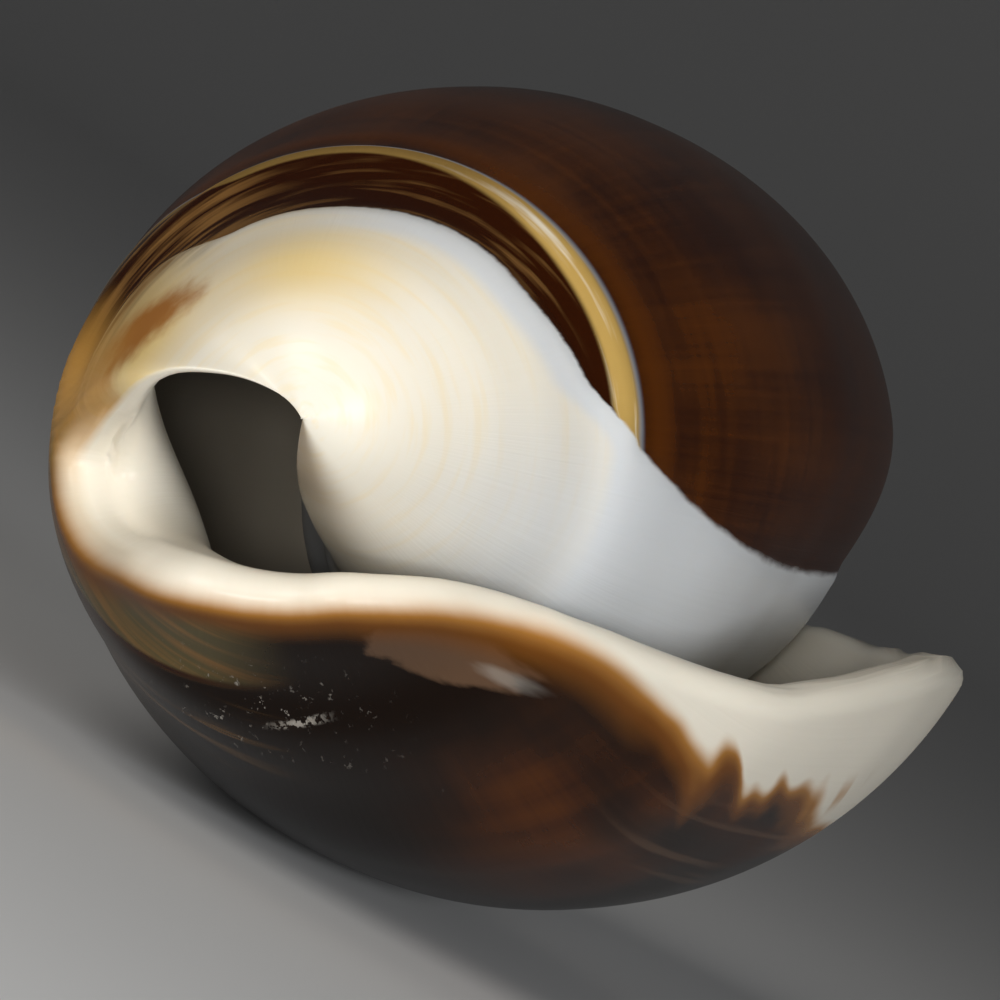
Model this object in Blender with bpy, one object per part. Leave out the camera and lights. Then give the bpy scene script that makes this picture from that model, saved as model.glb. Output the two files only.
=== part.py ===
"""An olive shell lying on its side, aperture up and to the side.

The shell is one solid. A closed spiral body is built first, then the
space the animal lived in is cut out of it as one coiled snake.

Shell frame: z runs along the coiling axis from the front (siphonal) end
to the apex. Growth is measured by a turn angle, 0 at the lip and
negative back towards the apex. Lengths are in metres.
"""

import math

import bmesh
import bpy
import numpy as np
from mathutils import Matrix, Vector

# Driving sizes
LENGTH = 0.047
LIP_RADIUS = 0.0129
GROWTH = 0.0627
TURNS = 5
WALL = 0.0013

# How the shell lies on the floor, in degrees: where the lip points, seen from the
# front end (0 is to the right, 90 is up), and how far the front end is raised
LIP_POINTS = 3.0
FRONT_RAISED = -3.2
REST_FLAT = 0.00012

# Mesh density
STEP = 7.5
SPIRE_ROWS = 5
BODY_ROWS = 24

# Body outline: how far from the front end, as a share of the length,
# and how wide there, as a share of the lip radius
BODY = [
    (0.034, 0.05),
    (0.036, 0.20),
    (0.055, 0.34),
    (0.090, 0.44),
    (0.150, 0.56),
    (0.205, 0.71),
    (0.280, 0.81),
    (0.380, 0.91),
    (0.500, 0.98),
    (0.620, 1.00),
    (0.740, 0.96),
    (0.820, 0.87),
    (0.885, 0.66),
]

# Shoulder outline from the suture down to where the body outline ends
SUTURE = (0.9225, 0.445)
SHOULDER = [SUTURE, (0.930, 0.500), (0.922, 0.570), (0.885, 0.66)]

# The lived-in space: its outer side and its pillar side
HOLLOW = [
    (-0.06, 0.27),
    (0.060, 0.28),
    (0.110, 0.32),
    (0.160, 0.37),
    (0.210, 0.46),
    (0.290, 0.67),
    (0.390, 0.80),
    (0.500, 0.87),
    (0.620, 0.89),
    (0.740, 0.85),
    (0.810, 0.76),
    (0.850, 0.66),
]
PILLAR = [
    (-0.20, 0.09),
    (0.050, 0.10),
    (0.150, 0.155),
    (0.210, 0.210),
    (0.270, 0.305),
    (0.320, 0.385),
    (0.400, 0.490),
    (0.500, 0.580),
    (0.900, 0.650),
]
PILLAR_TWIST = 0.0022
PILLAR_TURN = 94.0
CALLUS = 0.0004
HOLLOW_START = -325.0
HOLLOW_END = 15.0
LEAST_GAP = 0.11

# The siphonal notch: a flare of the space through the front of the wall
NOTCH_TURN = -143.0
NOTCH_HALF = 42.0
NOTCH_FLARE = 0.27
NOTCH_DEPTH = 0.17

# The lip is drawn in at its front end
LIP_SLIM = 0.13
LIP_SLIM_FROM = -60.0
LIP_SLIM_TO = -115.0

# The roof of callus that closes the space behind the notch
ROOF_FROM = -150.0
ROOF_TO = -192.0
ROOF_DEPTH = 0.17


def smooth(points, at):
    """A smooth curve through the points, read at one place."""
    xs = [p[0] for p in points]
    ys = [p[1] for p in points]
    if at <= xs[0]:
        return ys[0]
    if at >= xs[-1]:
        return ys[-1]
    i = int(np.searchsorted(xs, at, side="right")) - 1
    slopes = np.gradient(ys, xs)
    gap = xs[i + 1] - xs[i]
    t = (at - xs[i]) / gap
    ease = t * t * (3 - 2 * t)
    start = t * (1 - t) ** 2 * slopes[i] * gap
    end = -t * t * (1 - t) * slopes[i + 1] * gap
    return ys[i] * (1 - ease) + ys[i + 1] * ease + start + end


def ease_between(low, high, at):
    t = min(max((at - low) / (high - low), 0.0), 1.0)
    return t * t * (3 - 2 * t)


def growth(turn):
    return math.exp(GROWTH * math.radians(turn))


WHORL = growth(360.0)


def place(turn, along, wide):
    """A point from its turn angle, its share of the length and its radius share."""
    radius = wide * growth(turn) * LIP_RADIUS
    angle = math.radians(turn)
    return Vector((radius * math.cos(angle), -radius * math.sin(angle), along * LENGTH))


def body_point(turn, row):
    """A point of the outer wall. Rows run from the suture to the front end."""
    if row <= SPIRE_ROWS:
        where = row / SPIRE_ROWS * (len(SHOULDER) - 1)
        steps = list(enumerate(SHOULDER))
        along = smooth([(n, p[0]) for n, p in steps], where)
        wide = smooth([(n, p[1]) for n, p in steps], where)
        climb = 1.0
    else:
        share = (row - SPIRE_ROWS) / BODY_ROWS
        outline = list(reversed(BODY))
        steps = list(enumerate(outline))
        where = share * (len(outline) - 1)
        along = smooth([(n, p[0]) for n, p in steps], where)
        wide = smooth([(n, p[1]) for n, p in steps], where)
        climb = ease_between(0.60, 0.88, along)
        near_lip = 1 - ease_between(-LIP_SLIM_FROM, -LIP_SLIM_TO, -turn)
        at_front = 1 - ease_between(0.12, 0.26, along)
        wide *= 1 - LIP_SLIM * near_lip * at_front
    drop = (1 - along) * growth(turn * climb)
    return place(turn, 1 - drop, wide)


def closed_mesh(name, points, faces):
    mesh = bpy.data.meshes.new(name)
    mesh.from_pydata(points, [], faces)
    work = bmesh.new()
    work.from_mesh(mesh)
    bmesh.ops.remove_doubles(work, verts=work.verts, dist=1e-6)
    bmesh.ops.recalc_face_normals(work, faces=work.faces)
    work.to_mesh(mesh)
    work.free()
    return bpy.data.objects.new(name, mesh)


def spiral_body():
    """The whole shell as if it were filled up inside."""
    around = int(360 / STEP)
    columns = around * TURNS
    last_row = SPIRE_ROWS + BODY_ROWS
    points = []
    index = {}

    def add(column, row):
        # The suture of one turn is the same line as the foot of the shoulder a turn earlier
        if row == 0 and column + around <= columns:
            return add(column + around, SPIRE_ROWS)
        if (column, row) not in index:
            index[column, row] = len(points)
            points.append(body_point(-column * STEP, row))
        return index[column, row]

    faces = []
    for column in range(columns):
        rows = last_row if column < around else SPIRE_ROWS
        for row in range(rows):
            faces.append((add(column, row), add(column + 1, row), add(column + 1, row + 1), add(column, row + 1)))
    # The lip's face, from the last growth line in to the whorl below
    for row in range(1, last_row):
        inner = max(row, SPIRE_ROWS)
        if row < SPIRE_ROWS:
            faces.append((add(0, row), add(0, row + 1), add(around, inner)))
        else:
            faces.append((add(0, row), add(0, row + 1), add(around, row + 1), add(around, row)))
    # The front end closes on the pillar's tip
    front = len(points)
    points.append(Vector((0, 0, BODY[0][0] * LENGTH)))
    for column in range(around):
        faces.append((add(column, last_row), add(column + 1, last_row), front))
    faces.append((add(around, last_row), add(0, last_row), front))
    # The apex closes the last open turn
    apex = len(points)
    points.append(Vector((0, 0, LENGTH)))
    for column in range(columns - around, columns):
        faces.append((add(column, 0), add(column + 1, 0), apex))
    for row in range(SPIRE_ROWS):
        faces.append((add(columns, row), add(columns, row + 1), apex))
    return closed_mesh("body", points, faces)


def hollow_loop(turn):
    """The outline of the lived-in space at one turn angle."""
    roof = ROOF_DEPTH * ease_between(-ROOF_FROM, -ROOF_TO, -turn)
    front = -0.06 * (1 - roof / ROOF_DEPTH) + roof
    notch = NOTCH_FLARE * (1 - ease_between(0, NOTCH_HALF, abs(turn - NOTCH_TURN)))
    outer = []
    inner = []
    for along, wide in HOLLOW:
        at = max(along, front + 0.004 * len(outer))
        wall = smooth(HOLLOW, at) + notch * (1 - ease_between(0.05, NOTCH_DEPTH, at))
        shift = PILLAR_TWIST * max(turn + PILLAR_TURN, -60.0)
        pillar = smooth(PILLAR, at + shift)
        below = smooth([(a, w) for a, w in BODY], max(at, 0.2)) / WHORL
        pillar = min(pillar, below + CALLUS / LIP_RADIUS)
        gap = LEAST_GAP if along < 0.7 else 0.045
        pillar = min(pillar, wall - gap)
        climb = ease_between(0.60, 0.88, at)
        drop = (1 - at) * growth(turn * climb)
        outer.append(place(turn, 1 - drop, wall))
        inner.append(place(turn, 1 - drop, max(pillar, 0.03)))
    return outer + list(reversed(inner))


def hollow_snake():
    turns = np.arange(HOLLOW_START, HOLLOW_END + 0.1, STEP)
    loops = [hollow_loop(float(turn)) for turn in turns]
    count = len(loops[0])
    points = [point for loop in loops for point in loop]
    faces = []
    for n in range(len(loops) - 1):
        for k in range(count):
            following = (k + 1) % count
            faces.append(
                (n * count + k, n * count + following, (n + 1) * count + following, (n + 1) * count + k)
            )
    half = count // 2
    for base in (0, (len(loops) - 1) * count):
        for k in range(half - 1):
            faces.append((base + k, base + k + 1, base + count - 2 - k, base + count - 1 - k))
    return closed_mesh("hollow", points, faces)


def shell_material():
    material = bpy.data.materials.new("glossy_shell")
    material.use_nodes = True
    shader = material.node_tree.nodes["Principled BSDF"]
    shader.inputs["Base Color"].default_value = (0.26, 0.13, 0.05, 1)
    shader.inputs["Roughness"].default_value = 0.25
    return material


def lay_down(obj):
    """Turns the shell onto its side and sets it on the floor with a small worn flat under it."""
    tip = Matrix.Rotation(math.radians(-90), 4, "X")
    roll = Matrix.Rotation(math.radians(-LIP_POINTS), 4, "Z")
    pitch = Matrix.Rotation(math.radians(-FRONT_RAISED), 4, "X")
    centre = Matrix.Translation(Vector((0, 0, -LENGTH / 2)))
    obj.data.transform(pitch @ tip @ roll @ centre)
    low = min(vertex.co.z for vertex in obj.data.vertices) + REST_FLAT
    for vertex in obj.data.vertices:
        vertex.co.z = max(vertex.co.z, low) - low
    xs = [vertex.co.x for vertex in obj.data.vertices]
    ys = [vertex.co.y for vertex in obj.data.vertices]
    middle = Vector(((max(xs) + min(xs)) / 2, (max(ys) + min(ys)) / 2, 0))
    obj.data.transform(Matrix.Translation(-middle))


for old in list(bpy.data.objects):
    bpy.data.objects.remove(old)

collection = bpy.data.collections.new("olive_shell")
bpy.context.scene.collection.children.link(collection)

body = spiral_body()
hollow = hollow_snake()
collection.objects.link(body)
collection.objects.link(hollow)
hollow.hide_render = True
hollow.hide_set(True)

cut = body.modifiers.new("cut_hollow", "BOOLEAN")
cut.operation = "DIFFERENCE"
cut.solver = "EXACT"
cut.object = hollow
bpy.context.view_layer.update()
graph = bpy.context.evaluated_depsgraph_get()
shell_mesh = bpy.data.meshes.new_from_object(body.evaluated_get(graph))

shell = bpy.data.objects.new("shell", shell_mesh)
collection.objects.link(shell)
bpy.data.objects.remove(body)
bpy.data.objects.remove(hollow)
lay_down(shell)
shell.data.materials.clear()
shell.data.materials.append(shell_material())
print("shell triangles", sum(len(p.vertices) - 2 for p in shell.data.polygons))
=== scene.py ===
# %% [markdown]
# # An olive shell, seen from its front end
#
# An olive shell is one wall that the snail laid down as it grew. Every
# growth line is a slightly larger, turned copy of the one before. Here the
# wall is a flat grid of points: one direction is the turn angle, the other
# runs from the suture at the top of the whorl to the front end. Geometry
# Nodes rolls the grid up by that rule, and then gives it a thickness with a
# rounded rim.

import math

import bpy
from mathutils import Matrix, Vector


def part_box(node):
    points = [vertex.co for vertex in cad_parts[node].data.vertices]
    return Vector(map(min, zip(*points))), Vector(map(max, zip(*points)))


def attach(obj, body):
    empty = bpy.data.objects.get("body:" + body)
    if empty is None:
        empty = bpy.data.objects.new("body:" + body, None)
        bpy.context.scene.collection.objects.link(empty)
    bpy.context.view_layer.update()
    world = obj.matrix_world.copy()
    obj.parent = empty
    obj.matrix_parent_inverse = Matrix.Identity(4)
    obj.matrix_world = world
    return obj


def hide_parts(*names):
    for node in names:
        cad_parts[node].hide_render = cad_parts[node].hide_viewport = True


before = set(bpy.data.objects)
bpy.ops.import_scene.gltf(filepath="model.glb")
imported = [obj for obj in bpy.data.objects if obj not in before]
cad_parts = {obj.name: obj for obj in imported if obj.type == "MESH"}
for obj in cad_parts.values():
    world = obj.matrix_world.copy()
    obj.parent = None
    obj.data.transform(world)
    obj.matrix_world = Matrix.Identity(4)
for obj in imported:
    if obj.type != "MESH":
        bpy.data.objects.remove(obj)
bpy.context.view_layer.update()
LOW, HIGH = (Vector(corner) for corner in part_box("shell"))
print("the frame's shell in mm:", [round(1000 * side, 1) for side in HIGH - LOW])

# %% [markdown]
# ## Sizes and the growth rule
#
# The lip's radius and the length drive every other size. Turn angles are in
# degrees: 0 is the lip, -360 is one whorl earlier. Outlines are written as
# shares of the length and of the lip's radius, so they hold at any size.
# The front is tipped by a few degrees, so that the shell lies as it rests.

# %% Sizes and the growth rule
LENGTH = 0.047
LIP_RADIUS = 0.0129
GROWTH = 0.0627
WALL = 0.00125
OLDEST_TURN = -1800.0
LIP_POINTS = 3.0
FRONT_RAISED = -3.2
COLUMNS = 380
ROWS = 124
SEAM = 2e-6
NOTCH_SMOOTHING = 70

# Station along one growth line, distance from the front end, radius
OUTLINE = [
    (0.00, 0.9225, 0.445),
    (0.03, 0.9290, 0.470),
    (0.07, 0.9300, 0.515),
    (0.12, 0.9180, 0.580),
    (0.18, 0.8850, 0.660),
    (0.25, 0.8400, 0.800),
    (0.32, 0.7700, 0.925),
    (0.40, 0.6800, 0.990),
    (0.47, 0.5900, 1.000),
    (0.55, 0.4900, 0.975),
    (0.63, 0.3800, 0.910),
    (0.71, 0.2800, 0.810),
    (0.78, 0.2050, 0.712),
    (0.83, 0.1700, 0.605),
    (0.88, 0.1250, 0.500),
    (0.93, 0.0800, 0.370),
    (0.97, 0.0520, 0.200),
    (1.00, 0.0440, 0.000),
]

# Turn angle and the station where the wall stops there: the lip, the
# rounded front of the lip, the notch and the edge of the pillar
FRONT_EDGE = [
    (-800.0, 0.19),
    (-620.0, 0.21),
    (-580.0, 1.00),
    (-216.0, 1.00),
    (-204.0, 0.994),
    (-192.0, 0.984),
    (-182.0, 0.969),
    (-174.0, 0.950),
    (-166.0, 0.922),
    (-159.0, 0.884),
    (-152.0, 0.834),
    (-145.0, 0.798),
    (-134.0, 0.806),
    (-116.0, 0.858),
    (-92.0, 0.903),
    (-66.0, 0.914),
    (-42.0, 0.897),
    (-22.0, 0.845),
    (-10.0, 0.730),
    (-3.0, 0.600),
    (0.0, 0.470),
]
print("one whorl grows by a factor of", round(math.exp(2 * math.pi * GROWTH), 3))


# %% [markdown]
# ## A short way to write node trees
#
# Node trees get long, so these helpers let a tree read like a formula.
# `Sums` adds math nodes to a tree and wires them to whatever it is given,
# a number or another node's output.

# %% A short way to write node trees
class Sums:
    """Adds nodes to one tree and returns their outputs."""

    def __init__(self, tree):
        self.tree = tree

    def wire(self, value, socket):
        if hasattr(value, "is_output"):
            self.tree.links.new(value, socket)
        elif value is not None:
            socket.default_value = value

    def node(self, kind, *values, **settings):
        """Adds a node, applies its settings and wires its first inputs."""
        made = self.tree.nodes.new(kind)
        for name, setting in settings.items():
            setattr(made, name, setting)
        for socket, value in zip(made.inputs, values):
            self.wire(value, socket)
        return made

    def math(self, how, *values, clamp=False):
        return self.node("ShaderNodeMath", *values, operation=how, use_clamp=clamp).outputs[0]

    def add(self, a, b):
        return self.math("ADD", a, b)

    def less(self, a, b):
        return self.math("SUBTRACT", a, b)

    def times(self, a, b):
        return self.math("MULTIPLY", a, b)

    def share(self, a, b):
        return self.math("DIVIDE", a, b)

    def ramp(self, low, high, at):
        """0 at low and below, 1 at high and above, with soft ends. high may be under low."""
        straight = self.math("DIVIDE", self.less(at, low), self.less(high, low), clamp=True)
        return self.times(self.times(straight, straight), self.less(3.0, self.times(straight, 2.0)))

    def bump(self, middle, half, at):
        """1 at the middle, falling softly to 0 at half on either side."""
        return self.ramp(half, 0.0, self.math("ABSOLUTE", self.less(at, middle)))

    def blend(self, share, a, b):
        """a where share is 0 and b where it is 1."""
        return self.add(a, self.times(share, self.less(b, a)))

    def curve(self, points, at):
        """A smooth curve through points whose x and y both lie between 0 and 1."""
        made = self.node("ShaderNodeFloatCurve")
        self.wire(at, made.inputs["Value"])
        line = made.mapping.curves[0]
        while len(line.points) < len(points):
            line.points.new(0.5, 0.5)
        for point, (x, y) in zip(line.points, sorted(points)):
            point.location = (x, y)
            point.handle_type = "AUTO_CLAMPED"
        made.mapping.update()
        return made.outputs[0]


# %% [markdown]
# ## The coiled wall as a node tree
#
# 1. A grid gives each point a place across (turn) and up (station).
# 2. The turn angle and the station give a radius and a distance from the
#    front, read from the outline above.
# 3. The distance to the free rim rounds the wall's edge: the outer and the
#    inner skin meet half way through the wall there.
# 4. Each point keeps its turn, station and rim distance as attributes, for
#    the colours later.

# %% The coiled wall as a node tree
def named_input(tree, name, kind, value):
    socket = tree.interface.new_socket(name, in_out="INPUT", socket_type=kind)
    if value is not None:
        socket.default_value = value
    return socket


def keep(sums, geometry, name, value):
    """Stores a value on every point under a name."""
    store = sums.node("GeometryNodeStoreNamedAttribute", data_type="FLOAT", domain="POINT")
    sums.wire(geometry, store.inputs["Geometry"])
    store.inputs["Name"].default_value = name
    sums.wire(value, store.inputs["Value"])
    return store.outputs["Geometry"]


def stored(sums, name):
    """Reads a value that keep() stored."""
    return sums.node("GeometryNodeInputNamedAttribute", name, data_type="FLOAT").outputs[0]


def callus_line(s, turn):
    """The radius share where the white callus ends, at each turn angle."""
    first = s.times(0.037, s.ramp(-232.0, -288.0, turn))
    second = s.times(0.060, s.ramp(-288.0, -335.0, turn))
    third = s.times(0.090, s.ramp(-318.0, -338.0, turn))
    tip = s.times(0.085, s.ramp(-212.0, -186.0, turn))
    return s.add(s.add(s.add(0.532, tip), first), s.add(second, third))


def callus_share(s, turn, along, wide, soft):
    """1 on the white callus: a disc at the front end and all of the inner lip."""
    front = s.ramp(soft, -soft, s.less(wide, callus_line(s, turn)))
    front = s.times(front, s.times(s.ramp(-148.0, -156.0, turn), s.ramp(0.46, 0.36, along)))
    fall = s.math("EXPONENT", s.times(-9.5, s.math("MAXIMUM", 0.0, s.less(along, 0.19))))
    past = s.add(turn, s.less(354.0, s.times(22.0, fall)))
    inner_lip = s.times(s.ramp(120 * soft, -120 * soft, past), s.ramp(0.905, 0.875, along))
    return s.math("MAXIMUM", front, inner_lip)


def growth_grid(s, given):
    """The grid, and the turn, station and outline at each of its points."""
    # The grid and its two directions
    grid = s.node("GeometryNodeMeshGrid", 1.0, 1.0, given["Columns"], given["Rows"])
    place = s.node("GeometryNodeInputPosition").outputs[0]
    split = s.node("ShaderNodeSeparateXYZ", place)
    across = s.add(split.outputs[0], 0.5)
    up = s.add(split.outputs[1], 0.5)

    # Turn angle, with more columns near the lip
    spacing = [(0.0, 0.0), (0.40, 0.735), (0.72, 0.885), (0.90, 0.970), (0.97, 0.9945), (1.0, 1.0)]
    turn = s.times(s.less(1.0, s.curve(spacing, across)), OLDEST_TURN)

    # Station, with more rows near the rim
    stop_points = [(1 + turn_at / 800.0, station) for turn_at, station in FRONT_EDGE]
    stop = s.curve(stop_points, s.add(1.0, s.share(turn, 800.0)))
    packed = s.less(1.0, s.math("POWER", s.less(1.0, up), 1.5))
    station = s.times(packed, stop)
    along = s.curve([(at, far) for at, far, wide in OUTLINE], station)
    wide = s.curve([(at, wide) for at, far, wide in OUTLINE], station)
    return grid.outputs["Mesh"], turn, station, along, wide


def climbed(s, given, turn, plain_along, plain_wide):
    """The lip drawn in, the shoulder climbing and the old front end sinking in."""
    along, wide = plain_along, plain_wide
    # The lip is drawn in at its front end
    near_lip = s.ramp(-115.0, -25.0, turn)
    at_front = s.ramp(0.38, 0.13, along)
    wide = s.times(wide, s.less(1.0, s.times(0.20, s.times(near_lip, at_front))))

    # The shoulder climbs with growth, and the old front end lies deeper in
    climb = s.ramp(0.60, 0.88, along)
    drop = s.times(
        s.less(1.0, along),
        s.math("EXPONENT", s.times(s.times(turn, math.radians(1.0)), s.times(given["Growth"], climb))),
    )
    along = s.less(1.0, drop)
    older = s.math("MAXIMUM", 0.0, s.less(-275.0, turn))
    deeper = s.times(0.0013, s.share(s.times(older, older), s.add(older, 90.0)))
    sooner = s.math("MAXIMUM", 0.0, s.less(-215.0, turn))
    gentle = s.times(0.0008, s.share(s.times(sooner, sooner), s.add(sooner, 90.0)))
    deeper = s.blend(s.ramp(0.58, 0.25, plain_wide), deeper, gentle)
    deeper = s.times(deeper, s.ramp(0.85, 0.30, plain_along))
    # The pillar's tip stays level until it turns in
    deeper = s.times(deeper, s.blend(s.ramp(-445.0, -505.0, turn), s.ramp(-0.05, 0.62, plain_wide), 1.0))
    along = s.add(along, deeper)
    slender = s.times(s.ramp(-405.0, -500.0, turn), s.ramp(0.50, 0.25, plain_along))
    wide = s.times(wide, s.less(1.0, s.times(0.34, slender)))
    return along, wide


def moulded(s, turn, along, wide, plain_along, plain_wide):
    """The whorl drawn in, the notch and the low relief."""
    # The whorl is drawn in where the lip joins it
    drawn = s.times(s.ramp(-322.0, -360.0, turn), s.ramp(0.28, 0.62, plain_along))
    drawn = s.times(drawn, s.ramp(0.90, 0.78, plain_along))
    wide = s.times(wide, s.less(1.0, s.times(0.12, drawn)))

    # The notch's sides stand forward of the rest of the front end
    forward = s.times(s.bump(-134.0, 66.0, turn), s.ramp(0.34, 0.12, plain_along))
    along = s.less(along, s.times(0.060, forward))

    # Low relief: the tan ridge and the step at the callus edge
    coiled = s.ramp(-140.0, -165.0, turn)
    ridge = s.times(0.011, s.bump(0.700, 0.024, plain_wide))
    ridge = s.times(ridge, s.times(s.ramp(-338.0, -326.0, turn), s.ramp(0.46, 0.36, plain_along)))
    step = s.times(0.013, callus_share(s, turn, plain_along, plain_wide, 0.014))
    wide = s.add(wide, s.times(s.times(coiled, s.ramp(0.0, 0.2, plain_wide)), s.add(ridge, step)))

    # The first turns close on the axis at the tip of the spire
    wide = s.times(wide, s.ramp(OLDEST_TURN, OLDEST_TURN + 420, turn))
    return along, wide


def rolled_up(s, given, turn, station, along, wide):
    """Where each point of the grid goes when it is rolled up."""
    # The lip swings out at its middle and back near the suture
    swing = s.less(s.times(3.0, s.bump(0.43, 0.22, station)), s.times(14.0, s.ramp(0.34, -0.02, station)))
    swing = s.less(swing, s.times(2.2, s.bump(0.66, 0.13, station)))
    swing = s.times(swing, s.ramp(-70.0, 0.0, turn))

    # Roll the grid up
    angle = s.math("RADIANS", s.add(s.add(turn, swing), LIP_POINTS))
    grown = s.math("EXPONENT", s.times(s.math("RADIANS", turn), given["Growth"]))
    radius = s.times(s.times(grown, wide), given["Lip radius"])
    rolled = s.node(
        "ShaderNodeCombineXYZ",
        s.times(radius, s.math("COSINE", angle)),
        s.times(along, given["Length"]),
        s.times(radius, s.math("SINE", angle)),
    ).outputs[0]
    return rolled


def distance_from(s, geometry, free, attribute, least):
    """Distance to the free edges whose attribute is over a least value."""
    over = s.node("FunctionNodeCompare", data_type="FLOAT", operation="GREATER_THAN")
    s.wire(stored(s, attribute), over.inputs[0])
    over.inputs[1].default_value = least
    both_true = s.node("FunctionNodeBooleanMath", free.outputs[0], over.outputs[0], operation="AND")
    line = s.node("GeometryNodeSeparateGeometry", domain="EDGE")
    s.wire(geometry, line.inputs["Geometry"])
    s.wire(both_true.outputs[0], line.inputs["Selection"])
    near = s.node("GeometryNodeProximity", target_element="EDGES")
    s.wire(line.outputs["Selection"], near.inputs[0])
    return s.times(near.outputs["Distance"], 1000.0)


def wall_depths(s, given):
    """How deep the outer and the inner skin lie, and where the notch is heavy."""
    # Wall thickness, heavier round the notch
    edge_mm = stored(s, "border")
    stored_turn = stored(s, "turn")
    stored_along = stored(s, "along")
    stored_wide = stored(s, "wide")
    notch = s.times(s.bump(-130.0, 72.0, stored_turn), s.ramp(0.42, 0.27, stored_along))
    notch = s.times(notch, s.ramp(-184.0, -160.0, stored_turn))
    heavy = s.times(notch, s.math("DIVIDE", edge_mm, 2.4, clamp=True))
    wall = s.times(given["Wall"], s.add(1.0, s.times(1.95, heavy)))
    wall = s.times(wall, s.ramp(-0.12, 0.35, stored_wide))
    sharp = s.ramp(-154.0, -176.0, stored_turn)
    wall = s.times(wall, s.blend(sharp, 1.0, s.add(0.35, s.times(0.65, s.ramp(0.0, 5.0, edge_mm)))))
    half = s.times(given["Wall"], 500.0)
    from_rim = s.math("DIVIDE", edge_mm, half, clamp=True)
    inward = s.less(1.0, from_rim)
    round_off = s.math("SQRT", s.math("MAXIMUM", 0.0, s.less(1.0, s.times(inward, inward))))
    outer = s.times(s.times(wall, 0.5), s.less(1.0, round_off))
    inner = s.less(wall, outer)
    # The callus ends in a sharper edge, rounded on its inside only
    sharp = s.times(0.85, sharp)
    outer = s.times(outer, s.less(1.0, sharp))
    inner = s.blend(sharp, inner, s.times(wall, round_off))
    evened_share = s.times(notch, s.ramp(0.3, 1.2, edge_mm))
    return outer, inner, evened_share


def wall_skin(s, geometry, normal, depth, flip, evened_share):
    """One side of the wall: the grid moved in by its depth."""
    shift = s.node("ShaderNodeVectorMath", operation="SCALE")
    s.wire(normal, shift.inputs[0])
    s.wire(s.times(depth, -1.0), shift.inputs["Scale"])
    moved = s.node("GeometryNodeSetPosition")
    s.wire(geometry, moved.inputs["Geometry"])
    s.wire(shift.outputs[0], moved.inputs["Offset"])
    skin = keep(s, moved.outputs[0], "inside", 1.0 if flip else 0.0)
    if flip:
        # Evens out the heavy part of the notch
        evened = s.node("GeometryNodeBlurAttribute", data_type="FLOAT_VECTOR")
        s.wire(s.node("GeometryNodeInputPosition").outputs[0], evened.inputs["Value"])
        evened.inputs["Iterations"].default_value = NOTCH_SMOOTHING
        s.wire(evened_share, evened.inputs["Weight"])
        settled = s.node("GeometryNodeSetPosition")
        s.wire(skin, settled.inputs["Geometry"])
        s.wire(evened.outputs[0], settled.inputs["Position"])
        skin = settled.outputs[0]
        turned = s.node("GeometryNodeFlipFaces")
        s.wire(skin, turned.inputs[0])
        skin = turned.outputs[0]
    return skin


def wall_tree():
    tree = bpy.data.node_groups.new("coiled_wall", "GeometryNodeTree")
    named_input(tree, "Length", "NodeSocketFloat", LENGTH)
    named_input(tree, "Lip radius", "NodeSocketFloat", LIP_RADIUS)
    named_input(tree, "Growth", "NodeSocketFloat", GROWTH)
    named_input(tree, "Wall", "NodeSocketFloat", WALL)
    named_input(tree, "Columns", "NodeSocketInt", COLUMNS)
    named_input(tree, "Rows", "NodeSocketInt", ROWS)
    named_input(tree, "Material", "NodeSocketMaterial", None)
    tree.interface.new_socket("Geometry", in_out="OUTPUT", socket_type="NodeSocketGeometry")
    s = Sums(tree)
    given = s.node("NodeGroupInput").outputs
    geometry, turn, station, plain_along, plain_wide = growth_grid(s, given)
    along, wide = climbed(s, given, turn, plain_along, plain_wide)
    along, wide = moulded(s, turn, along, wide, plain_along, plain_wide)
    rolled = rolled_up(s, given, turn, station, along, wide)
    for name, value in (("turn", turn), ("along", plain_along), ("wide", plain_wide)):
        geometry = keep(s, geometry, name, value)
    bent = s.node("GeometryNodeSetPosition")
    s.wire(geometry, bent.inputs["Geometry"])
    s.wire(rolled, bent.inputs["Position"])

    # Distance from the lip and the front edge, and from any free border
    at_lip = s.math("GREATER_THAN", s.add(turn, s.times(station, 5000.0)), -0.5)
    geometry = keep(s, bent.outputs[0], "rim", at_lip)
    faces_beside = s.node("GeometryNodeInputMeshEdgeNeighbors").outputs[0]
    free = s.node("FunctionNodeCompare", data_type="INT", operation="EQUAL")
    s.wire(faces_beside, free.inputs[2])
    free.inputs[3].default_value = 1

    border = distance_from(s, geometry, free, "wide", 0.02)
    edge = distance_from(s, geometry, free, "rim", 0.6)
    geometry = keep(s, geometry, "edge", edge)
    geometry = keep(s, geometry, "border", border)

    normal = s.node("GeometryNodeInputNormal").outputs[0]

    outer, inner, evened_share = wall_depths(s, given)
    skins = [
        wall_skin(s, geometry, normal, outer, False, evened_share),
        wall_skin(s, geometry, normal, inner, True, evened_share),
    ]
    both = s.node("GeometryNodeJoinGeometry")
    for skin in reversed(skins):
        tree.links.new(skin, both.inputs[0])
    sewn = s.node("GeometryNodeMergeByDistance")
    s.wire(both.outputs[0], sewn.inputs["Geometry"])
    sewn.inputs["Distance"].default_value = SEAM
    smooth = s.node("GeometryNodeSetShadeSmooth")
    s.wire(sewn.outputs[0], smooth.inputs[0])
    real = s.node("GeometryNodeRealizeInstances")
    s.wire(smooth.outputs[0], real.inputs[0])
    painted = s.node("GeometryNodeSetMaterial")
    s.wire(real.outputs[0], painted.inputs["Geometry"])
    s.wire(given["Material"], painted.inputs["Material"])
    done = s.node("NodeGroupOutput")
    s.wire(painted.outputs[0], done.inputs[0])
    return tree


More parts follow.
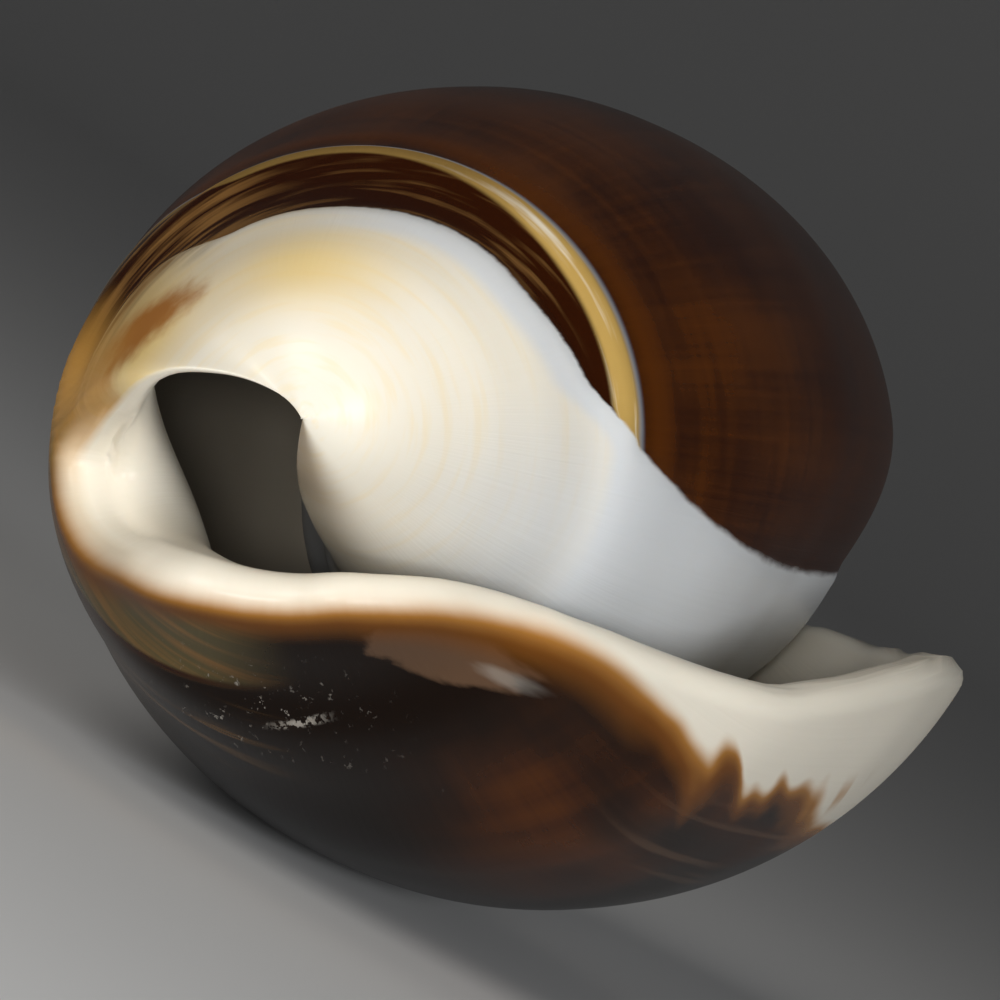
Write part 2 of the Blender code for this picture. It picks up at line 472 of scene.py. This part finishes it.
def grow(name, tree, **values):
    """Runs a node tree and returns its result as a plain mesh object."""
    holder = bpy.data.objects.new(name, bpy.data.meshes.new(name))
    bpy.context.scene.collection.objects.link(holder)
    modifier = holder.modifiers.new("grow", "NODES")
    modifier.node_group = tree
    for item in tree.interface.items_tree:
        if item.in_out == "INPUT" and item.name in values:
            modifier[item.identifier] = values[item.name]
    bpy.context.view_layer.update()
    graph = bpy.context.evaluated_depsgraph_get()
    mesh = bpy.data.meshes.new_from_object(holder.evaluated_get(graph))
    holder.modifiers.remove(modifier)
    holder.data = mesh
    return holder


# %% [markdown]
# ## Colour and gloss
#
# The shell's colours follow its growth, so they are read from the turn,
# station and rim distance that each point carries.

# %% Colour and gloss
BLACK_BROWN = (0.0060, 0.0020, 0.0004, 1)
BROWN = (0.026, 0.0050, 0.0004, 1)
WARM = (0.095, 0.024, 0.0010, 1)
STREAK = (0.240, 0.120, 0.035, 1)
RUST = (0.150, 0.050, 0.0060, 1)
ORANGE = (0.480, 0.220, 0.045, 1)
AMBER = (0.720, 0.370, 0.075, 1)
SAND = (0.600, 0.410, 0.170, 1)
# Painted shade colour for the fold where the callus turns in beside the pillar
PAINTED_SHADE_BEIGE = (0.240, 0.175, 0.110, 1)
TAN = (0.500, 0.320, 0.090, 1)
OLIVE = (0.100, 0.078, 0.030, 1)
CREAM = (0.820, 0.760, 0.640, 1)
YELLOW = (0.860, 0.640, 0.260, 1)
IVORY = (0.660, 0.560, 0.410, 1)
COOL = (0.680, 0.700, 0.720, 1)
SLATE = (0.230, 0.250, 0.290, 1)
PATCH = (0.400, 0.135, 0.014, 1)
GREY_BROWN = (0.130, 0.072, 0.040, 1)
WORN = (0.420, 0.380, 0.330, 1)
SHADE = (0.480, 0.420, 0.330, 1)


class Paint(Sums):
    """Node sums for a material, with colours and grains that follow the growth."""

    def read(self, name):
        return self.node("ShaderNodeAttribute", attribute_name=name).outputs["Fac"]

    def mix(self, share, under, over):
        made = self.node("ShaderNodeMix", data_type="RGBA")
        self.wire(share, made.inputs["Factor"])
        self.wire(under, made.inputs[6])
        self.wire(over, made.inputs[7])
        return made.outputs[2]

    def grain(self, x, y, z=0.0, detail=2.0, rough=0.5):
        """Soft noise over the given directions, from 0 to 1."""
        where = self.node("ShaderNodeCombineXYZ", x, y, z).outputs[0]
        made = self.node("ShaderNodeTexNoise")
        self.wire(where, made.inputs["Vector"])
        made.inputs["Scale"].default_value = 1.0
        made.inputs["Detail"].default_value = detail
        made.inputs["Roughness"].default_value = rough
        return made.outputs[0]


def body_colour(s, turn, along, wide):
    """The dark coat: fine growth lines one way and faint spiral bands the other."""
    lines = s.grain(s.times(turn, 0.55), s.times(along, 3.0), detail=3.0)
    bands = s.grain(s.times(turn, 0.02), s.times(along, 60.0), detail=2.0)
    clouds = s.grain(s.times(turn, 0.035), s.times(along, 4.0), 3.0)
    glow = s.add(s.add(s.times(lines, 0.22), s.times(bands, 0.22)), s.times(clouds, 0.56))
    glow_share = s.times(s.ramp(0.36, 0.68, glow), s.blend(s.ramp(0.30, 0.62, along), 1.0, 0.35))
    colour = s.mix(glow_share, BROWN, WARM)
    # The newest half whorl is nearly black
    newest = s.times(s.ramp(-150.0, -95.0, turn), s.ramp(0.90, 0.62, glow))
    browner = s.times(s.ramp(-72.0, -35.0, turn), s.ramp(0.18, 0.30, along))
    newest = s.times(newest, s.less(1.0, s.times(browner, s.ramp(0.40, 0.60, clouds))))
    colour = s.mix(newest, colour, BLACK_BROWN)
    # A tan thread runs beside the suture
    thread = s.times(s.bump(0.455, 0.014, wide), s.ramp(0.80, 0.90, along))
    colour = s.mix(s.times(0.6, thread), colour, TAN)
    # A brighter band beside the ridge
    beside = s.times(s.bump(0.752, 0.040, wide), s.ramp(-150.0, -175.0, turn))
    beside = s.times(beside, s.ramp(0.46, 0.36, along))
    colour = s.mix(s.times(0.8, beside), colour, WARM)
    # Painted sheen: pale grey-brown streaks along the growth lines on the coat behind the lip stand in for
    # the glaze's soft reflection there
    painted_sheen = s.times(s.bump(-32.0, 16.0, turn), s.ramp(0.30, 0.42, along))
    return s.mix(s.times(0.5, s.times(painted_sheen, s.ramp(0.52, 0.68, lines))), colour, GREY_BROWN)


def ridge_colour(s, colour, turn, along, wide):
    """The tan ridge, its slate edge and the fasciole inside it."""
    skewed = s.add(s.times(wide, 50.0), s.times(turn, 0.045))
    streaks = s.grain(s.times(turn, 0.03), skewed, detail=3.0)
    along_streaks = s.grain(s.times(turn, 0.03), s.times(wide, 60.0), detail=3.0)
    coiled = s.times(s.ramp(-160.0, -185.0, turn), s.ramp(0.46, 0.36, along))
    middle = s.add(0.699, s.times(0.055, s.ramp(-215.0, -188.0, turn)))
    widening = s.add(0.42, s.times(0.86, s.ramp(-235.0, -300.0, turn)))
    across = s.share(s.less(wide, middle), widening)
    inside_ridge = s.times(coiled, s.ramp(0.004, -0.004, across))
    dark = s.mix(s.times(0.7, s.ramp(0.50, 0.80, streaks)), BROWN, STREAK)
    dark = s.mix(s.ramp(-285.0, -320.0, turn), dark, BROWN)
    pale = s.mix(s.ramp(0.38, 0.62, along_streaks), BROWN, STREAK)
    dark = s.mix(s.ramp(-232.0, -204.0, turn), dark, pale)
    colour = s.mix(inside_ridge, colour, dark)
    colour = s.mix(s.times(coiled, s.bump(0.014, 0.010, across)), colour, SLATE)
    ridge = s.times(coiled, s.ramp(0.025, 0.012, s.math("ABSOLUTE", s.add(across, 0.006))))
    ridge = s.times(ridge, s.blend(s.ramp(-255.0, -290.0, turn), 0.45, 1.0))
    return s.mix(ridge, colour, s.mix(s.ramp(0.55, 0.85, along_streaks), TAN, CREAM))


def callus_colour(s, colour, turn, along, wide):
    """The white callus with its cool rim, a yellow flush, painted shade where it folds in and one brown
    patch.
    """
    wander = s.times(0.012, s.less(s.grain(s.times(along, 30.0), s.times(turn, 0.4), detail=3.0), 0.5))
    wandering = s.add(wide, wander)
    gap = s.less(wide, callus_line(s, turn))
    white = callus_share(s, s.add(turn, s.times(120.0, wander)), along, wandering, 0.008)
    arcs = s.grain(s.times(turn, 0.02), s.times(wide, 45.0), detail=2.0)
    fresh = s.mix(s.times(0.25, s.ramp(0.45, 0.75, arcs)), CREAM, YELLOW)
    flush = s.times(s.bump(-236.0, 52.0, turn), s.bump(0.37, 0.17, wide))
    fresh = s.mix(s.times(0.85, flush), fresh, YELLOW)
    flush = s.times(s.bump(-174.0, 42.0, turn), s.ramp(0.26, 0.42, wide))
    fresh = s.mix(s.times(0.95, flush), fresh, YELLOW)
    sandy = s.times(s.bump(-170.0, 38.0, turn), s.ramp(0.42, 0.54, wide))
    fresh = s.mix(s.times(0.9, sandy), fresh, SAND)
    # Painted shade: a dark beige tint where the callus folds in toward the pillar stands in for the shadow
    # under the fold
    painted_fold_shade = s.times(s.ramp(-388.0, -428.0, turn), s.ramp(0.46, 0.16, wide))
    fresh = s.mix(s.times(0.8, painted_fold_shade), fresh, PAINTED_SHADE_BEIGE)
    rim = s.times(s.ramp(-0.085, -0.045, gap), s.ramp(-218.0, -262.0, turn))
    fresh = s.mix(s.times(0.85, rim), fresh, COOL)
    far = s.times(s.ramp(-305.0, -375.0, turn), s.ramp(0.20, 0.60, wide))
    fresh = s.mix(s.times(0.8, far), fresh, COOL)
    # The brown patch lies along the callus tip
    drift = s.less(wide, s.add(0.466, s.times(0.0026, s.add(turn, 181.0))))
    blot = s.grain(s.times(turn, 0.12), s.times(wide, 30.0), detail=4.0)
    across_patch = s.share(drift, 0.078)
    along_patch = s.share(s.add(turn, 179.0), 25.0)
    spread = s.add(s.times(across_patch, across_patch), s.times(along_patch, along_patch))
    patch = s.ramp(1.05, 0.30, s.add(s.math("SQRT", spread), s.times(0.7, s.less(blot, 0.5))))
    # The callus thins out over the streaks beside its tip
    thin = s.times(s.ramp(-0.085, -0.010, gap), s.ramp(-212.0, -190.0, turn))
    hazy = s.grain(s.times(turn, 0.04), s.times(wide, 45.0), detail=3.0)
    white = s.times(white, s.less(1.0, s.times(thin, s.ramp(0.30, 0.70, hazy))))
    colour = s.mix(white, colour, fresh)
    colour = s.mix(s.times(0.92, patch), colour, PATCH)
    corner = s.times(s.bump(-161.0, 23.0, turn), s.times(s.ramp(0.44, 0.56, wide), s.ramp(0.25, 0.19, along)))
    return s.mix(s.times(0.85, corner), colour, AMBER)


def lip_colour(s, colour, turn, along, wide, edge):
    """White at the rim, then orange, then the dark coat, with flame teeth."""
    upright = s.less(along, s.times(0.027, edge))
    flames = s.grain(s.times(upright, 40.0), s.times(turn, 0.03), detail=0.0)
    ragged = s.grain(s.times(along, 14.0), s.times(turn, 0.12), 5.0, detail=2.0)
    teeth = s.times(s.bump(0.40, 0.15, along), s.times(3.2, s.less(flames, 0.5)))
    reach = s.add(-0.05, s.times(2.8, s.ramp(0.18, 0.46, along)))
    reach = s.add(reach, s.times(2.6, s.times(s.ramp(0.46, 0.62, along), s.ramp(0.97, 0.78, along))))
    uneven = s.times(s.add(0.1, s.times(0.5, s.ramp(0.2, 0.35, along))), s.less(ragged, 0.5))
    reach = s.add(reach, s.add(teeth, uneven))
    outside = s.less(edge, reach)
    # Toward the suture only the last turn's edge is pale
    near = s.ramp(-150.0, -135.0, turn)
    near = s.blend(s.ramp(0.50, 0.70, along), near, s.ramp(-75.0, -40.0, turn))
    spots = s.times(s.bump(0.555, 0.055, along), s.bump(4.3, 1.3, edge))
    spots = s.times(s.times(near, spots), s.ramp(0.45, 0.65, flames))
    colour = s.mix(s.times(near, s.ramp(1.9, 0.7, outside)), colour, RUST)
    colour = s.mix(s.times(near, s.ramp(1.0, 0.1, outside)), colour, ORANGE)
    rim = s.mix(s.times(0.75, s.bump(-135.0, 38.0, turn)), CREAM, IVORY)
    pale = s.blend(s.ramp(0.50, 0.70, along), s.ramp(-175.0, -150.0, turn), s.ramp(-75.0, -40.0, turn))
    colour = s.mix(s.times(pale, s.ramp(0.55, 0.0, outside)), colour, rim)
    return s.mix(s.times(0.7, spots), colour, ORANGE)


def wear_colour(s, colour, turn, wide, edge):
    """A greyish worn patch under the lip, whitish rubs and specks of dust."""
    cloud = s.grain(s.times(turn, 0.12), s.times(edge, 1.1), 2.0, detail=3.0)
    across = s.share(s.less(edge, s.less(1.55, s.times(0.02, s.add(turn, 41.0)))), 0.95)
    length = s.share(s.add(turn, 41.0), 15.0)
    spread = s.math("SQRT", s.add(s.times(across, across), s.times(length, length)))
    spread = s.add(spread, s.times(0.9, s.less(cloud, 0.5)))
    worn = s.times(s.ramp(1.05, 0.80, spread), s.ramp(0.7, 1.2, edge))
    colour = s.mix(s.times(0.8, worn), colour, GREY_BROWN)
    rub_across = s.share(s.less(edge, 1.85), 0.30)
    rub_length = s.share(s.add(turn, 31.0), 4.5)
    rub = s.math("SQRT", s.add(s.times(rub_across, rub_across), s.times(rub_length, rub_length)))
    rub = s.add(rub, s.times(1.6, s.less(cloud, 0.5)))
    colour = s.mix(s.times(0.35, s.ramp(1.1, 0.3, rub)), colour, WORN)
    # Dust lies on the coat below the notch
    dusty = s.times(s.bump(-82.0, 34.0, turn), s.bump(5.0, 3.4, edge))
    specks = s.grain(s.times(turn, 1.0), s.times(wide, 90.0), 7.0, detail=2.0, rough=0.6)
    few = s.grain(s.times(turn, 0.30), s.times(wide, 22.0), 9.0)
    bright = s.times(dusty, s.times(s.ramp(0.58, 0.66, specks), s.ramp(0.52, 0.66, few)))
    # One long smear of dust among the specks
    slant = s.add(s.less(edge, 5.3), s.times(0.05, s.add(turn, 74.0)))
    smear = s.times(s.bump(-74.0, 8.0, turn), s.ramp(0.24, 0.08, s.math("ABSOLUTE", slant)))
    bright = s.math("MAXIMUM", bright, s.times(smear, s.ramp(0.45, 0.55, specks)))
    return s.mix(s.times(0.8, bright), colour, WORN)


def front_colour(s, colour, turn, along, wide):
    """The olive band that runs from the notch under the lip, and its dark groove."""
    groove = s.less(wide, s.less(0.650, s.times(0.0027, s.add(turn, 97.0))))
    ribbons = s.grain(s.times(turn, 0.02), s.times(wide, 55.0), detail=3.0)
    side = s.times(s.ramp(-72.0, -100.0, turn), s.ramp(-172.0, -150.0, turn))
    side = s.times(side, s.ramp(0.46, 0.36, along))
    olive = s.mix(s.ramp(0.40, 0.75, ribbons), OLIVE, STREAK)
    colour = s.mix(s.times(side, s.ramp(0.012, -0.012, groove)), colour, olive)
    colour = s.mix(s.times(side, s.bump(0.0, 0.012, groove)), colour, BROWN)
    rays = s.times(s.bump(0.12, 0.11, groove), s.ramp(0.52, 0.66, ribbons))
    return s.mix(s.times(s.times(side, rays), 0.8), colour, STREAK)


def shell_material():
    material = bpy.data.materials.new("shell_glaze")
    material.use_nodes = True
    s = Paint(material.node_tree)
    shader = material.node_tree.nodes["Principled BSDF"]
    turn, along, wide, edge, inside = (s.read(n) for n in ("turn", "along", "wide", "edge", "inside"))

    colour = body_colour(s, turn, along, wide)
    colour = ridge_colour(s, colour, turn, along, wide)
    colour = front_colour(s, colour, turn, along, wide)
    colour = wear_colour(s, colour, turn, wide, edge)
    colour = lip_colour(s, colour, turn, along, wide, edge)
    colour = callus_colour(s, colour, turn, along, wide)
    deep = s.ramp(4.5, 8.0, edge)
    inner = s.mix(s.times(deep, 0.95), CREAM, SHADE)
    colour = s.mix(inside, colour, inner)
    s.wire(colour, shader.inputs["Base Color"])

    # Fine growth lines in the glaze
    fine = s.times(s.grain(s.times(turn, 0.9), s.times(along, 3.0), detail=3.0), s.ramp(0.12, 0.6, wide))
    relief = s.node("ShaderNodeBump")
    relief.inputs["Strength"].default_value = 0.15
    relief.inputs["Distance"].default_value = 0.00006
    s.wire(fine, relief.inputs["Height"])
    s.wire(relief.outputs[0], shader.inputs["Normal"])
    shader.inputs["Roughness"].default_value = 0.27
    shader.inputs["Specular IOR Level"].default_value = 0.17
    shader.inputs["Subsurface Weight"].default_value = 0.12
    shader.inputs["Subsurface Radius"].default_value = (1.0, 0.7, 0.5)
    shader.inputs["Subsurface Scale"].default_value = 0.0008
    return material


# %% [markdown]
# ## Grow the shell
#
# The finished wall is laid on the floor, centred on the frame's shell, and
# then stands in for it.

# %% Grow the shell
glaze = shell_material()
shell = grow("shell_wall", wall_tree(), Material=glaze)
tilt = Matrix.Rotation(math.radians(-FRONT_RAISED), 4, "X")
shell.data.transform(tilt @ Matrix.Translation((0, -LENGTH / 2, 0)))
points = [vertex.co for vertex in shell.data.vertices]
low = Vector([min(p[k] for p in points) for k in range(3)])
high = Vector([max(p[k] for p in points) for k in range(3)])
print("grown shell in mm:", [round(1000 * side, 1) for side in high - low])
print("grown shell has", len(shell.data.polygons), "faces")
SHIFT = (LOW + HIGH) / 2 - (low + high) / 2
SHIFT.z = LOW.z - low.z
shell.data.transform(Matrix.Translation(SHIFT))
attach(shell, "root")
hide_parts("shell")

# %% [markdown]
# ## Floor, light and camera
#
# The camera looks at the front end almost along the coiling axis. It is
# rolled, because the shell lies turned in the photograph. Two lamps light
# the front, and a small one beside the lens reaches down the aperture.

# %% Floor, light and camera
CAMERA_RADII = 16.67


def look(position, away, up):
    """A camera or light matrix that looks along away with up at the top."""
    back = -away.normalized()
    right = up.cross(back).normalized()
    matrix = Matrix((right, back.cross(right), back)).transposed().to_4x4()
    matrix.translation = position
    return matrix


def photo_camera():
    """The camera fitted to the photograph, in the shell's own radii."""
    aside, under = 0.2094, -0.0390
    away = Vector((aside, under, math.sqrt(1 - aside * aside - under * under)))
    # Turns the view axis to the coiling axis with the least twist
    twist = Vector((0, 0, 1)).rotation_difference(away).to_matrix()
    right = twist.row[0].copy()
    up = twist.row[1].copy()
    ahead = twist.row[2].copy()
    roll = math.radians(-28.5 - LIP_POINTS)

    def to_world(v):
        x = math.cos(roll) * v.x + math.sin(roll) * v.y
        z = -math.sin(roll) * v.x + math.cos(roll) * v.y
        return tilt.to_3x3() @ Vector((x, v.z, z))

    right, up, ahead = to_world(right), to_world(up), to_world(ahead)
    data = bpy.data.cameras.new("photo_camera")
    distance = CAMERA_RADII * LIP_RADIUS
    data.sensor_width = 36
    data.lens = 36 * 0.4892 * CAMERA_RADII
    data.shift_x = 0.0099
    data.shift_y = -0.0464
    data.clip_start = 0.01
    data.clip_end = 20
    camera = bpy.data.objects.new("photo_camera", data)
    matrix = Matrix((right, up, -ahead)).transposed().to_4x4()
    matrix.translation = SHIFT - distance * ahead
    camera.matrix_world = matrix
    bpy.context.scene.collection.objects.link(camera)
    bpy.context.scene.camera = camera
    print("camera height in mm:", round(1000 * matrix.translation.z, 1))
    return camera


def area_light(name, position, target, size, power, colour=(1, 1, 1)):
    data = bpy.data.lights.new(name, "AREA")
    data.shape = "DISK"
    data.size = size
    data.energy = power
    data.color = colour
    lamp = bpy.data.objects.new(name, data)
    lamp.matrix_world = look(Vector(position), Vector(target) - Vector(position), Vector((0, 0, 1)))
    bpy.context.scene.collection.objects.link(lamp)
    return lamp


def pale_floor():
    """A floor that sweeps up into a wall far behind, so no horizon shows."""
    mesh = bpy.data.meshes.new("floor")
    half, bend, reach = 2.5, 0.6, 0.9
    line = [(-1.2, 0.0)]
    arc = [math.radians(3 * k) for k in range(31)]
    line += [(reach + bend * math.sin(a), bend - bend * math.cos(a)) for a in arc]
    line.append((reach + bend, 3.0))
    mesh.from_pydata(
        [(side * half, y, z) for y, z in line for side in (-1, 1)],
        [],
        [(2 * k, 2 * k + 1, 2 * k + 3, 2 * k + 2) for k in range(len(line) - 1)],
    )
    mesh.polygons.foreach_set("use_smooth", [True] * len(mesh.polygons))
    floor = bpy.data.objects.new("floor", mesh)
    material = bpy.data.materials.new("pale_floor")
    material.use_nodes = True
    shader = material.node_tree.nodes["Principled BSDF"]
    shader.inputs["Base Color"].default_value = (0.72, 0.72, 0.72, 1)
    shader.inputs["Roughness"].default_value = 0.8
    mesh.materials.append(material)
    bpy.context.scene.collection.objects.link(floor)
    return floor


def from_camera(right, up, toward):
    """A place measured from the shell's front end in the photograph's directions."""
    matrix = bpy.context.scene.camera.matrix_world.to_3x3()
    front = SHIFT + tilt.to_3x3() @ Vector((0, -LENGTH / 2, 0))
    return front + matrix @ Vector((right, up, toward))


def aimed_light(name, place, size, power, colour=(1, 1, 1)):
    front = from_camera(0, 0, -0.01)
    return area_light(name, place, front, size, power, colour)


photo_camera()
pale_floor()
aimed_light("key", from_camera(-0.05, 0.14, 0.20), 0.12, 0.30, (1.0, 0.97, 0.92))
aimed_light("right", from_camera(0.13, -0.05, 0.19), 0.10, 0.34, (0.96, 0.98, 1.0))
aimed_light("lens", from_camera(0.0, 0.0, 0.20), 0.016, 0.12)
area_light("overhead", (0.0, 0.1, 0.7), (0, 0.1, 0), 0.8, 6.0)
world = bpy.data.worlds.new("soft_room")
bpy.context.scene.world = world
world.use_nodes = True
world.node_tree.nodes["Background"].inputs["Color"].default_value = (0.8, 0.8, 0.8, 1)
world.node_tree.nodes["Background"].inputs["Strength"].default_value = 0.07
bpy.context.scene.view_settings.view_transform = "Standard"
